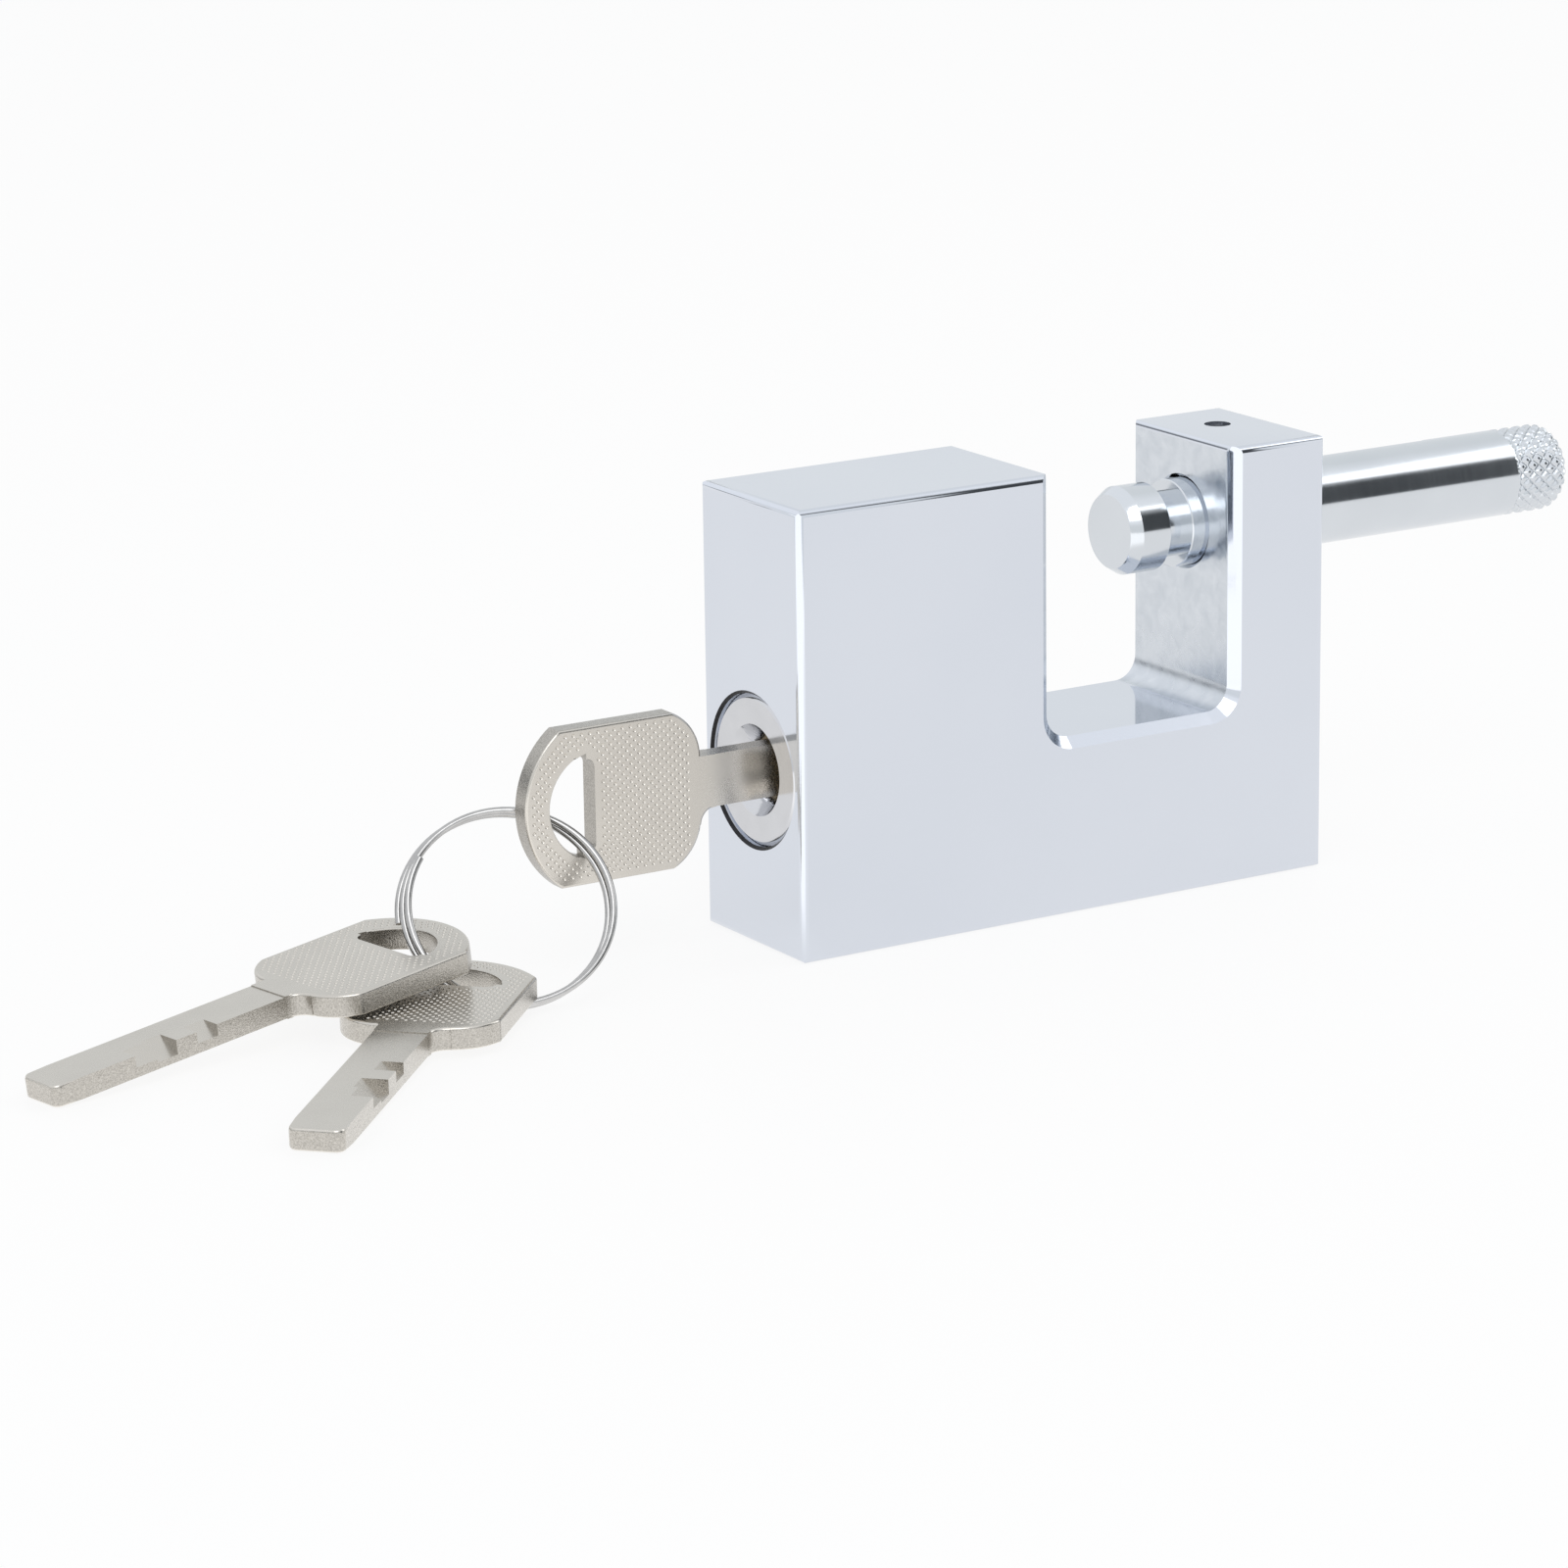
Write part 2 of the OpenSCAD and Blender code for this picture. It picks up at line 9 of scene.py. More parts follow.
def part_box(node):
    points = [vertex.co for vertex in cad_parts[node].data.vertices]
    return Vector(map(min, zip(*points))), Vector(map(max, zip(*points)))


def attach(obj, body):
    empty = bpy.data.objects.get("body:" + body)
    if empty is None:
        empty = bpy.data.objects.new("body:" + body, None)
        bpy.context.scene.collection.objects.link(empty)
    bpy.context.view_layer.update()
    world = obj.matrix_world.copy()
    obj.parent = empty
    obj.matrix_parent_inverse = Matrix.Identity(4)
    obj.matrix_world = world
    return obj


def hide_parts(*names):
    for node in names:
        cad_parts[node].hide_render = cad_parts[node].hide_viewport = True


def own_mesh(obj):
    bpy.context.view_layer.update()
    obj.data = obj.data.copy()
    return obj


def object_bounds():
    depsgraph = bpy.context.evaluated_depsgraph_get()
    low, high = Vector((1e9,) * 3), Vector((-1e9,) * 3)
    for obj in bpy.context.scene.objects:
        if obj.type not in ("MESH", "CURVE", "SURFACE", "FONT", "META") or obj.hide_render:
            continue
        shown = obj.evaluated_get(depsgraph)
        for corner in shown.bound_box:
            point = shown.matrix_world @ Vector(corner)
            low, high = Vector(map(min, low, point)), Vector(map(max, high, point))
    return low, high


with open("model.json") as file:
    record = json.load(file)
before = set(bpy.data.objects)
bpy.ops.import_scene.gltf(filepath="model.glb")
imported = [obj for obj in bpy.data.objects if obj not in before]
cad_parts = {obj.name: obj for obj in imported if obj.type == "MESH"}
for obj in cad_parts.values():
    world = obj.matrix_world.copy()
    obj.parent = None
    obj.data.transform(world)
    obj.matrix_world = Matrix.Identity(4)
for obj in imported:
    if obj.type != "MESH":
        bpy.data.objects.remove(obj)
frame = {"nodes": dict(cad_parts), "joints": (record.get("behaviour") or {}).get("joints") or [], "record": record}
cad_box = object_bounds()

MM = 0.001
NODES = frame["nodes"]
BODY_OF_NODE = {
    node: body
    for body, members in frame["record"]["behaviour"]["bodies"].items()
    for node in members
}
JOINTS = {joint["name"]: joint for joint in frame["joints"]}
CYLINDER_HEIGHT = JOINTS["drum_turn"]["pos_m"][2]
# Two places nearer than NEAR count as one, and points nearer than WELD are joined
NEAR = 0.01 * MM
WELD = 0.0005 * MM
# Faces that meet at fewer degrees than this are joined again
FLAT_ANGLE = 0.4

# Block, in millimetres: rounds, what counts as the chain gap, and the recess round the barrel whose faces get
# painted shade
BLOCK_ROUND = 1.0
GAP_MOUTH_ROUND = 0.8
GAP_INSET = 3.0
GAP_LOWEST = 20.0
SHADE_PAINT_DEPTH = 3.0
SHADE_PAINT_RADIUS = 11.0
BARREL_RIM = 0.35

# Bolt, in millimetres; places are along it from its tip
TIP_CHAMFER = 1.5
TIP_CHAMFER_DEPTH = 0.85
GROOVE_START = 6.0
GROOVE_END = 9.5
GROOVE_DEPTH = 1.5
BOLT_EDGE = 0.15
BOLT_END_ROUND = 2.2
KNURL_LENGTH = 9.2
KNURL_PITCH = 2.0
KNURL_DEPTH = 0.35
KNURL_FADE = 0.4
# How soon a diamond's sides reach its flat top, where 1 makes it pointed
DIAMOND_FLATNESS = 1.6
# How many diamonds stand round the bolt, and how many steps its surface has round and along the knurl
KNURL_ROUNDS = 21
BOLT_STEPS_ROUND = 400
KNURL_STEPS = 88
END_ROUND_STEPS = 24
# The slot that the stop pin runs in: its play beside and under the pin, and how far up it is cut
SLOT_PLAY = 0.08
SLOT_FLOOR_PLAY = 0.05
SLOT_CUT_HEIGHT = 8.0
SLOT_END_STEPS = 24

# Key, in millimetres; places are along it from the end of its bow
KEY_RIM_ROUND = 0.36
KEY_TIP_ROUND = 0.5
KEY_HOLE_ROUND = 0.25
KEY_HOLE_START = 3.0
KEY_HOLE_CURVE_END = 8.4
KEY_HOLE_END = 11.0
KEY_HOLE_REACH = 7.6
KEY_NECK_END = 27.6
KEY_TIP_LENGTH = 2.2
DIMPLE_PITCH = 1.2
DIMPLE_RADIUS = 0.3
DIMPLE_DEPTH = 0.16
DIMPLE_BORDER = 0.8
DIMPLED_LENGTH = 24.2
MILLED_DEPTH = 0.12
MILLED_START = 28.2
# How much of each end is looked at to find the bow, and of the tip to find the blade's middle
BOW_PROBE = 15.0
TIP_PROBE = 5.0
# How far above and below a key's back the metal is looked for where a dimple would be
PROBE_HEIGHT = 10.0

# Split ring, in millimetres, with its turns, the angle in degrees at which it starts, and the steps
# of a turn and of the wire's section
RING_WIRE = 0.95
RING_OUTER = 27.4
RING_PITCH = 1.0
RING_DRIFT = 0.6
RING_TURNS = 2.1
RING_START = 184
RING_STEPS = 96
WIRE_STEPS = 20

# Half the floor's side in metres, and the share of plain white in it; the rest keeps the shadow
FLOOR_HALF = 4.0
FLOOR_WHITE = 0.85
# How much brighter the floor mirrors at the block's front left, as a painted pool of light, how far to the left
# and before the block's middle that starts, in metres, and how quickly it grows, per metre
FLOOR_POOL_PAINTED_LIGHT = 0.45
POOL_LEFT_START = 0.035
POOL_FRONT_START = 0.025
POOL_SLOPE = 28.0

# What the metal mirrors around it: the room's walls, its ceiling, a grey card and a dark card
WALL_COLOUR = (0.86, 0.885, 0.90)
CEILING_COLOUR = (1.0, 1.02, 1.05)
GREY_CARD_COLOUR = (0.25, 0.26, 0.28)
DARK_CARD_COLOUR = (0.06, 0.065, 0.07)
ROOM_LIGHT = 0.8

# Soft square lamps: place and side in metres, power in watts
LAMPS = {
    "key_light": ((-0.5, -0.7, 0.9), 0.7, 2.6),
    "fill_light": ((0.9, -0.3, 0.7), 0.6, 1.4),
}

# The camera of the photograph: its place in millimetres, its three angles in degrees and its
# focal length in the photograph's pixels
PHOTO_SIDE = 1600
CAMERA_PLACE = (-418.95, -621.43, 216.52)
CAMERA_AZIMUTH = 31.5847
CAMERA_PITCH = 15.0077
CAMERA_ROLL = -0.8265
CAMERA_FOCAL = 5903.32
SENSOR = 36.0


class Value:
    """A socket that makes Math nodes when it stands in an expression."""

    def __init__(self, graph, socket):
        self.graph, self.socket = graph, socket

    def maths(self, operation, *values):
        return self.graph.node("ShaderNodeMath", {"operation": operation}, dict(enumerate(values)))[0]

    def __add__(self, other):
        return self.maths("ADD", self, other)

    def __sub__(self, other):
        return self.maths("SUBTRACT", self, other)

    def __mul__(self, other):
        return self.maths("MULTIPLY", self, other)

    def __truediv__(self, other):
        return self.maths("DIVIDE", self, other)

    def __rsub__(self, other):
        return self.maths("SUBTRACT", other, self)

    def __gt__(self, other):
        return self.maths("GREATER_THAN", self, other)

    def __lt__(self, other):
        return self.maths("LESS_THAN", self, other)

    def __abs__(self):
        return self.maths("ABSOLUTE", self)

    def one(self, operation):
        return self.maths(operation, self)

    def clamp(self):
        return self.maths("MINIMUM", self.maths("MAXIMUM", self, 0.0), 1.0)

    __radd__ = __add__
    __rmul__ = __mul__


class Made:
    """A node that gives its outputs as values, by name or number."""

    def __init__(self, graph, node):
        self.graph, self.node = graph, node

    def __getitem__(self, key):
        return Value(self.graph, self.node.outputs[key])


class Graph:
    """A node tree that is filled with one method."""

    def __init__(self, tree):
        self.tree = tree

    def node(self, kind, settings=None, sockets=None):
        made = self.tree.nodes.new(kind)
        for name, setting in (settings or {}).items():
            setattr(made, name, setting)
        for key, value in (sockets or {}).items():
            if isinstance(value, Value):
                self.tree.links.new(value.socket, made.inputs[key])
            else:
                made.inputs[key].default_value = value
        return Made(self, made)

    def mix_colour(self, factor, first, second):
        """A mix of two colours, each three numbers or a value."""
        ends = [colour if isinstance(colour, Value) else (*colour, 1.0) for colour in (first, second)]
        sockets = {"Factor": factor, 6: ends[0], 7: ends[1]}
        return self.node("ShaderNodeMix", {"data_type": "RGBA"}, sockets)[2]

    def noise(self, vector, scale, detail=2.0, distortion=0.0):
        sockets = {"Vector": vector, "Scale": scale, "Detail": detail, "Distortion": distortion}
        return self.node("ShaderNodeTexNoise", None, sockets)[0]


# Materials

def object_place(graph):
    """Object coordinates, as one vector and as its three parts."""
    place = graph.node("ShaderNodeTexCoord")["Object"]
    parts = graph.node("ShaderNodeSeparateXYZ", None, {0: place})
    return place, parts[0], parts[1], parts[2]


def stretched(graph, place, x, y, z):
    """The place, with each direction taken so many times as fine."""
    return graph.node("ShaderNodeMapping", None, {"Vector": place, "Scale": (x, y, z)})["Vector"]


def metal(name, paint):
    """A metal whose colour, roughness, relief and depth of relief in mm come from paint(graph)."""
    material = bpy.data.materials.new(name)
    material.use_nodes = True
    graph = Graph(material.node_tree)
    shader = material.node_tree.nodes["Principled BSDF"]
    shader.inputs["Metallic"].default_value = 1.0
    colour, roughness, height, depth = paint(graph)
    links = material.node_tree.links
    links.new(colour.socket, shader.inputs["Base Color"])
    links.new(roughness.socket, shader.inputs["Roughness"])
    bump = graph.node(
        "ShaderNodeBump", None,
        {"Height": height, "Strength": 1.0, "Distance": depth * MM},
    )
    links.new(bump["Normal"].socket, shader.inputs["Normal"])
    return material


def polished_chrome(graph):
    """Plating over ground zinc: nearly a mirror, with faint long grinding lines."""
    place, _, _, _ = object_place(graph)
    clouds = graph.noise(place, 30.0, 3.0)
    lines = graph.noise(stretched(graph, place, 12.0, 12.0, 900.0), 1.0, 4.0)
    colour = graph.mix_colour(clouds, (0.665, 0.70, 0.765), (0.72, 0.75, 0.81))
    roughness = clouds * 0.08 + lines * 0.05 + 0.02
    return colour, roughness, lines * 0.35 + clouds * 0.65, 0.004


def milled_chrome(graph):
    """Plating over the milled walls of the chain gap: mottled, with slanting scratches."""
    place, _, _, z = object_place(graph)
    mottle = graph.noise(place, 420.0, 4.0, 0.6)
    sockets = {"Vector": place, "Rotation": (0.9, 0.0, 0.0)}
    turned = graph.node("ShaderNodeMapping", None, sockets)["Vector"]
    scratches = graph.noise(stretched(graph, turned, 60.0, 2200.0, 60.0), 1.0, 2.0)
    low = (1.0 - (z - 0.024) * 70.0).clamp()
    colour = graph.mix_colour(mottle, (0.52, 0.56, 0.61), (0.78, 0.81, 0.85))
    roughness = mottle * 0.22 + scratches * 0.12 + low * 0.12 + 0.03
    return colour, roughness, mottle * 0.7 + scratches * 0.3, 0.03


def bolt_chrome(graph):
    """Polished bolt with fine turning lines round it."""
    place, _, _, _ = object_place(graph)
    lines = graph.noise(stretched(graph, place, 3200.0, 40.0, 40.0), 1.0, 3.0)
    clouds = graph.noise(place, 120.0, 2.0)
    colour = graph.mix_colour(clouds, (0.64, 0.67, 0.705), (0.70, 0.73, 0.765))
    return colour, lines * 0.08 + clouds * 0.06 + 0.06, lines, 0.002


def key_alloy(graph):
    """Stamped nickel silver: warm, satin, with a fine even grain and faint tarnish."""
    place, _, _, _ = object_place(graph)
    grain = graph.noise(place, 5200.0, 3.0)
    tarnish = graph.noise(place, 160.0, 4.0)
    colour = graph.mix_colour(tarnish, (0.57, 0.54, 0.495), (0.66, 0.63, 0.58))
    return colour, grain * 0.10 + tarnish * 0.16 + 0.14, grain * 0.8 + tarnish * 0.2, 0.006


def key_edge(graph):
    """Sheared and milled edge of a key, with marks across its thickness."""
    place, _, _, _ = object_place(graph)
    marks = graph.noise(place, 5200.0, 3.0)
    tarnish = graph.noise(place, 300.0, 3.0)
    colour = graph.mix_colour(marks, (0.16, 0.15, 0.133), (0.68, 0.65, 0.60))
    return colour, marks * 0.2 + tarnish * 0.12 + 0.10, marks, 0.035


def drawn_wire(graph):
    """Drawn and polished spring wire."""
    place, _, _, _ = object_place(graph)
    streaks = graph.noise(place, 900.0, 4.0)
    colour = graph.mix_colour(streaks, (0.36, 0.357, 0.353), (0.54, 0.533, 0.525))
    return colour, streaks * 0.12 + 0.08, streaks, 0.004


def turned_nickel(graph):
    """Face and countersink of the cylinder: polished, with fine lines round its axis."""
    place, _, y, z = object_place(graph)
    above_axis = z - CYLINDER_HEIGHT
    radius = (y * y + above_axis * above_axis).one("SQRT")
    ring_place = graph.node("ShaderNodeCombineXYZ", None, {0: radius * 2600.0})[0]
    rings = graph.noise(ring_place, 1.0, 2.0)
    clouds = graph.noise(place, 300.0, 2.0)
    colour = graph.mix_colour(clouds, (0.58, 0.585, 0.605), (0.68, 0.685, 0.705))
    return colour, rings * 0.10 + clouds * 0.08 + 0.04, rings, 0.003


def ground_steel(graph):
    """Plain ground steel of pins, latch and spring."""
    place, _, _, _ = object_place(graph)
    grain = graph.noise(place, 1800.0, 3.0)
    colour = graph.mix_colour(grain, (0.40, 0.40, 0.41), (0.58, 0.58, 0.59))
    return colour, grain * 0.15 + 0.22, grain, 0.01


def brass_darkened_as_shade(graph):
    """Stamped brass of the discs, its colour darkened to brown as painted shade deep inside the keyway."""
    place, _, _, _ = object_place(graph)
    grain = graph.noise(stretched(graph, place, 2600.0, 300.0, 300.0), 1.0, 3.0)
    tarnish = graph.noise(place, 200.0, 2.0)
    colour = graph.mix_colour(tarnish, (0.14, 0.105, 0.055), (0.30, 0.23, 0.12))
    return colour, grain * 0.12 + tarnish * 0.12 + 0.16, grain, 0.008


def dark_steel_and_recess_shade(graph):
    """Near-black steel of the pin sunk in the top, also laid as painted shade on the recess round the barrel."""
    place, _, _, _ = object_place(graph)
    grain = graph.noise(place, 1500.0, 3.0)
    colour = graph.mix_colour(grain, (0.012, 0.012, 0.013), (0.06, 0.06, 0.063))
    return colour, grain * 0.2 + 0.3, grain, 0.01


CHROME = metal("polished_chrome", polished_chrome)
GAP_CHROME = metal("milled_chrome", milled_chrome)
BOLT_CHROME = metal("bolt_chrome", bolt_chrome)
KEY_ALLOY = metal("key_alloy", key_alloy)
KEY_EDGE = metal("key_edge", key_edge)
WIRE_STEEL = metal("drawn_wire", drawn_wire)
NICKEL = metal("turned_nickel", turned_nickel)
STEEL = metal("ground_steel", ground_steel)
DARK_STEEL_AND_RECESS_SHADE = metal("dark_steel_and_recess_shade", dark_steel_and_recess_shade)
BRASS_WITH_PAINTED_SHADE = metal("brass_darkened_as_shade", brass_darkened_as_shade)


# Meshes

def add_piece(name, mesh, node):
    """Shows a mesh in the place of a CAD node, on that node's body."""
    piece = bpy.data.objects.new(name, mesh)
    bpy.context.scene.collection.objects.link(piece)
    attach(piece, BODY_OF_NODE[node])
    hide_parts(node)
    return piece


def merged_copy(node, name):
    """A CAD node's mesh as one closed skin, its flat faces joined again."""
    mesh = NODES[node].data.copy()
    mesh.name = name
    for layer in list(mesh.attributes):
        if layer.name == "custom_normal":
            mesh.attributes.remove(layer)
    skin = bmesh.new()
    skin.from_mesh(mesh)
    bmesh.ops.remove_doubles(skin, verts=skin.verts, dist=WELD)
    bmesh.ops.dissolve_limit(
        skin, angle_limit=math.radians(FLAT_ANGLE), verts=skin.verts, edges=skin.edges,
        use_dissolve_boundaries=False,
    )
    skin.to_mesh(mesh)
    skin.free()
    mesh.materials.clear()
    return mesh


def finished(piece_mesh, add_modifiers):
    """The mesh after modifiers, with nothing left live on it."""
    holder = bpy.data.objects.new("holder", piece_mesh)
    bpy.context.scene.collection.objects.link(holder)
    add_modifiers(holder)
    bpy.context.view_layer.update()
    evaluated = holder.evaluated_get(bpy.context.evaluated_depsgraph_get())
    result = bpy.data.meshes.new_from_object(evaluated)
    bpy.data.objects.remove(holder)
    result.name = piece_mesh.name
    return result


def smooth_by_angle(mesh, degrees):
    """Smooth shading, with a sharp line wherever two faces meet at more than the angle."""
    skin = bmesh.new()
    skin.from_mesh(mesh)
    for edge in skin.edges:
        faces_two = len(edge.link_faces) == 2
        edge.smooth = faces_two and edge.calc_face_angle(0.0) < math.radians(degrees)
    for face in skin.faces:
        face.smooth = True
    skin.to_mesh(mesh)
    skin.free()
    return mesh


def weighted(mesh, degrees=35):
    """Smooth shading that leaves large flat faces flat beside their rounded edges."""
    smooth_by_angle(mesh, degrees)

    def add(holder):
        modifier = holder.modifiers.new("flat faces", "WEIGHTED_NORMAL")
        modifier.mode = "FACE_AREA"
        modifier.weight = 100
        modifier.keep_sharp = True

    return finished(mesh, add)


def rounded(mesh, is_wanted, width, steps):
    """Rounds the edges that is_wanted picks, by a width in millimetres."""
    skin = bmesh.new()
    skin.from_mesh(mesh)
    skin.normal_update()
    wanted = [edge for edge in skin.edges if len(edge.link_faces) == 2 and is_wanted(edge)]
    bmesh.ops.bevel(
        skin, geom=wanted, offset=width * MM, segments=steps, profile=0.5,
        affect="EDGES", clamp_overlap=False,
    )
    skin.to_mesh(mesh)
    skin.free()
    return mesh


def cut_away(mesh, cutter_mesh):
    """The mesh less the cutter."""
    cutter = bpy.data.objects.new("cutter", cutter_mesh)
    bpy.context.scene.collection.objects.link(cutter)

    def cut(holder):
        modifier = holder.modifiers.new("cut", "BOOLEAN")
        modifier.operation = "DIFFERENCE"
        modifier.solver = "EXACT"
        modifier.object = cutter

    result = finished(mesh, cut)
    bpy.data.objects.remove(cutter)
    return result


def geometry_tree(name, inputs):
    """A geometry node tree with a mesh in, named sizes and a mesh out."""
    tree = bpy.data.node_groups.new(name, "GeometryNodeTree")
    tree.interface.new_socket("Geometry", in_out="INPUT", socket_type="NodeSocketGeometry")
    for label, default in inputs.items():
        kind = "NodeSocketMaterial" if label == "Material" else "NodeSocketFloat"
        socket = tree.interface.new_socket(label, in_out="INPUT", socket_type=kind)
        if default is not None:
            socket.default_value = default
    tree.interface.new_socket("Geometry", in_out="OUTPUT", socket_type="NodeSocketGeometry")
    graph = Graph(tree)
    start = graph.node("NodeGroupInput")
    return tree, graph, start


def end_tree(graph, geometry, material):
    """Closes a tree with Realize Instances and Set Material."""
    real = graph.node("GeometryNodeRealizeInstances", None, {"Geometry": geometry})
    painted = graph.node(
        "GeometryNodeSetMaterial", None, {"Geometry": real["Geometry"], "Material": material}
    )
    graph.node("NodeGroupOutput", {"is_active_output": True}, {"Geometry": painted["Geometry"]})


def grown(mesh, tree, sizes):
    """The mesh that a geometry tree makes of mesh, with the named sizes set."""

    def add(holder):
        modifier = holder.modifiers.new("grow", "NODES")
        modifier.node_group = tree
        for item in tree.interface.items_tree:
            if item.in_out == "INPUT" and item.name in sizes:
                modifier[item.identifier] = sizes[item.name]

    return finished(mesh, add)


# Block

def true_round_edges(mesh, lowest, highest):
    """Gives the block's outer rounded edges the normals of a true round."""
    inner_low = lowest + Vector((1, 1, 1)) * BLOCK_ROUND * MM
    inner_high = highest - Vector((1, 1, 1)) * BLOCK_ROUND * MM
    normals = [corner.vector.copy() for corner in mesh.corner_normals]
    for face in mesh.polygons:
        for loop in face.loop_indices:
            place = mesh.vertices[mesh.loops[loop].vertex_index].co
            limits = zip(place, inner_low, inner_high)
            out = place - Vector(min(max(at, low), high) for at, low, high in limits)
            on_round = abs(out.length - BLOCK_ROUND * MM) < 2 * NEAR
            true_normal = out.normalized()
            if on_round and true_normal.dot(face.normal) > 0.9:
                normals[loop] = true_normal
    mesh.normals_split_custom_set(normals)


def make_block():
    """The chromed block: mirror faces outside, milled walls in the chain gap, painted shade in the recess round
    the barrel.
    """
    lowest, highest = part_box("lock_body")

    def at_gap_mouth(edge):
        """True on the top edges of the gap's two walls."""
        high = all(vertex.co.z > highest.z - NEAR for vertex in edge.verts)
        beside_wall = min(abs(face.normal.z) for face in edge.link_faces) < 0.1
        runs_across = abs(edge.verts[0].co.x - edge.verts[1].co.x) < NEAR
        return high and beside_wall and runs_across

    mesh = rounded(merged_copy("lock_body", "block"), at_gap_mouth, GAP_MOUTH_ROUND, steps=6)
    mesh = weighted(mesh)
    mesh.materials.append(CHROME)
    mesh.materials.append(GAP_CHROME)
    mesh.materials.append(DARK_STEEL_AND_RECESS_SHADE)
    true_round_edges(mesh, lowest, highest)
    inset = GAP_INSET * MM
    for face in mesh.polygons:
        middle = face.center
        runs_through = abs(face.normal.y) < 0.2
        level = abs(face.normal.z) > 0.98
        inside = lowest.x + inset < middle.x < highest.x - inset
        above_floor = GAP_LOWEST * MM < middle.z < highest.z - inset
        if runs_through and inside and above_floor and not level:
            face.material_index = 1
        # Faces in the recess round the barrel get the near-black material as painted shade
        off_axis = math.hypot(middle.y, middle.z - CYLINDER_HEIGHT)
        at_left_end = middle.x < lowest.x + SHADE_PAINT_DEPTH * MM
        faces_end = abs(face.normal.x) > 0.95
        if at_left_end and off_axis < SHADE_PAINT_RADIUS * MM and not faces_end:
            face.material_index = 2
    add_piece("chromed_block", mesh, "lock_body")


# Bolt

def bolt_outline(length, radius):
    """Points (along, radius) of the turned bolt from its tip, dense where it is knurled."""
    edge = BOLT_EDGE
    knurl_start = length - KNURL_LENGTH
    points = [
        (0, 0),
        (0, radius - TIP_CHAMFER_DEPTH - edge),
        (edge, radius - TIP_CHAMFER_DEPTH),
        (TIP_CHAMFER, radius),
        (TIP_CHAMFER + edge, radius),
        (GROOVE_START - edge, radius),
        (GROOVE_START, radius - edge),
        (GROOVE_START, radius - GROOVE_DEPTH),
        (GROOVE_END, radius - GROOVE_DEPTH),
        (GROOVE_END, radius - edge),
        (GROOVE_END + edge, radius),
        (GROOVE_END + 3 * edge, radius),
        (knurl_start - 2 * edge, radius),
        (knurl_start, radius),
    ]
    straight = KNURL_LENGTH - BOLT_END_ROUND
    for step in range(1, KNURL_STEPS + 1):
        points.append((knurl_start + straight * step / KNURL_STEPS, radius))
    for step in range(1, END_ROUND_STEPS + 1):
        angle = math.pi / 2 * step / END_ROUND_STEPS
        along = length - BOLT_END_ROUND + BOLT_END_ROUND * math.sin(angle)
        points.append((along, radius - BOLT_END_ROUND + BOLT_END_ROUND * math.cos(angle)))
    points.append((length, 0))
    return points


def turned_and_knurled():
    """Tree that turns an outline into a solid and rolls a diamond knurl into its end."""
    names = [
        "Steps round", "Points along", "Knurl start", "Knurl end", "Knurl pitch",
        "Knurl rounds", "Knurl depth", "Outer radius",
    ]
    tree, graph, start = geometry_tree("turned_and_knurled", {**dict.fromkeys(names), "Material": None})
    along = start["Points along"]
    grid = graph.node(
        "GeometryNodeMeshGrid", None,
        {"Size X": 1.0, "Size Y": 1.0, "Vertices X": start["Steps round"], "Vertices Y": along},
    )
    index = graph.node("GeometryNodeInputIndex")[0]
    row = (index / along).one("FLOOR")
    column = index - row * along
    position = graph.node("GeometryNodeInputPosition")[0]
    sampled = graph.node(
        "GeometryNodeSampleIndex", {"data_type": "FLOAT_VECTOR", "domain": "POINT"},
        {"Geometry": start["Geometry"], "Value": position, "Index": column},
    )
    parts = graph.node("ShaderNodeSeparateXYZ", None, {0: sampled["Value"]})
    length, radius = parts[0], parts[1]
    turn = row / (start["Steps round"] - 1.0)
    around = turn * start["Knurl rounds"]
    forward = length / start["Knurl pitch"]

    def groove(phase):
        """1 along a groove's line, and down to 0 half way to the next."""
        return abs(phase.one("FRACT") * 2.0 - 1.0)

    rising, falling = groove(around + forward), groove(around - forward)
    diamond = 1.0 - rising.maths("MAXIMUM", rising, falling)
    fade = ((length - start["Knurl start"]) / (KNURL_FADE * MM)).clamp()
    full_radius = (radius / start["Outer radius"]).clamp()
    sunk = 1.0 - (diamond * DIAMOND_FLATNESS).clamp()
    depth = start["Knurl depth"] * fade * full_radius * sunk
    cut_radius = radius - depth * (start["Knurl end"] > length)
    angle = turn * (2 * math.pi)
    place = graph.node(
        "ShaderNodeCombineXYZ", None,
        {0: length, 1: cut_radius * angle.one("COSINE"), 2: cut_radius * angle.one("SINE")},
    )
    shaped = graph.node(
        "GeometryNodeSetPosition", None, {"Geometry": grid["Mesh"], "Position": place["Vector"]}
    )
    welded = graph.node(
        "GeometryNodeMergeByDistance", None, {"Geometry": shaped["Geometry"], "Distance": WELD}
    )
    end_tree(graph, welded["Geometry"], start["Material"])
    return tree


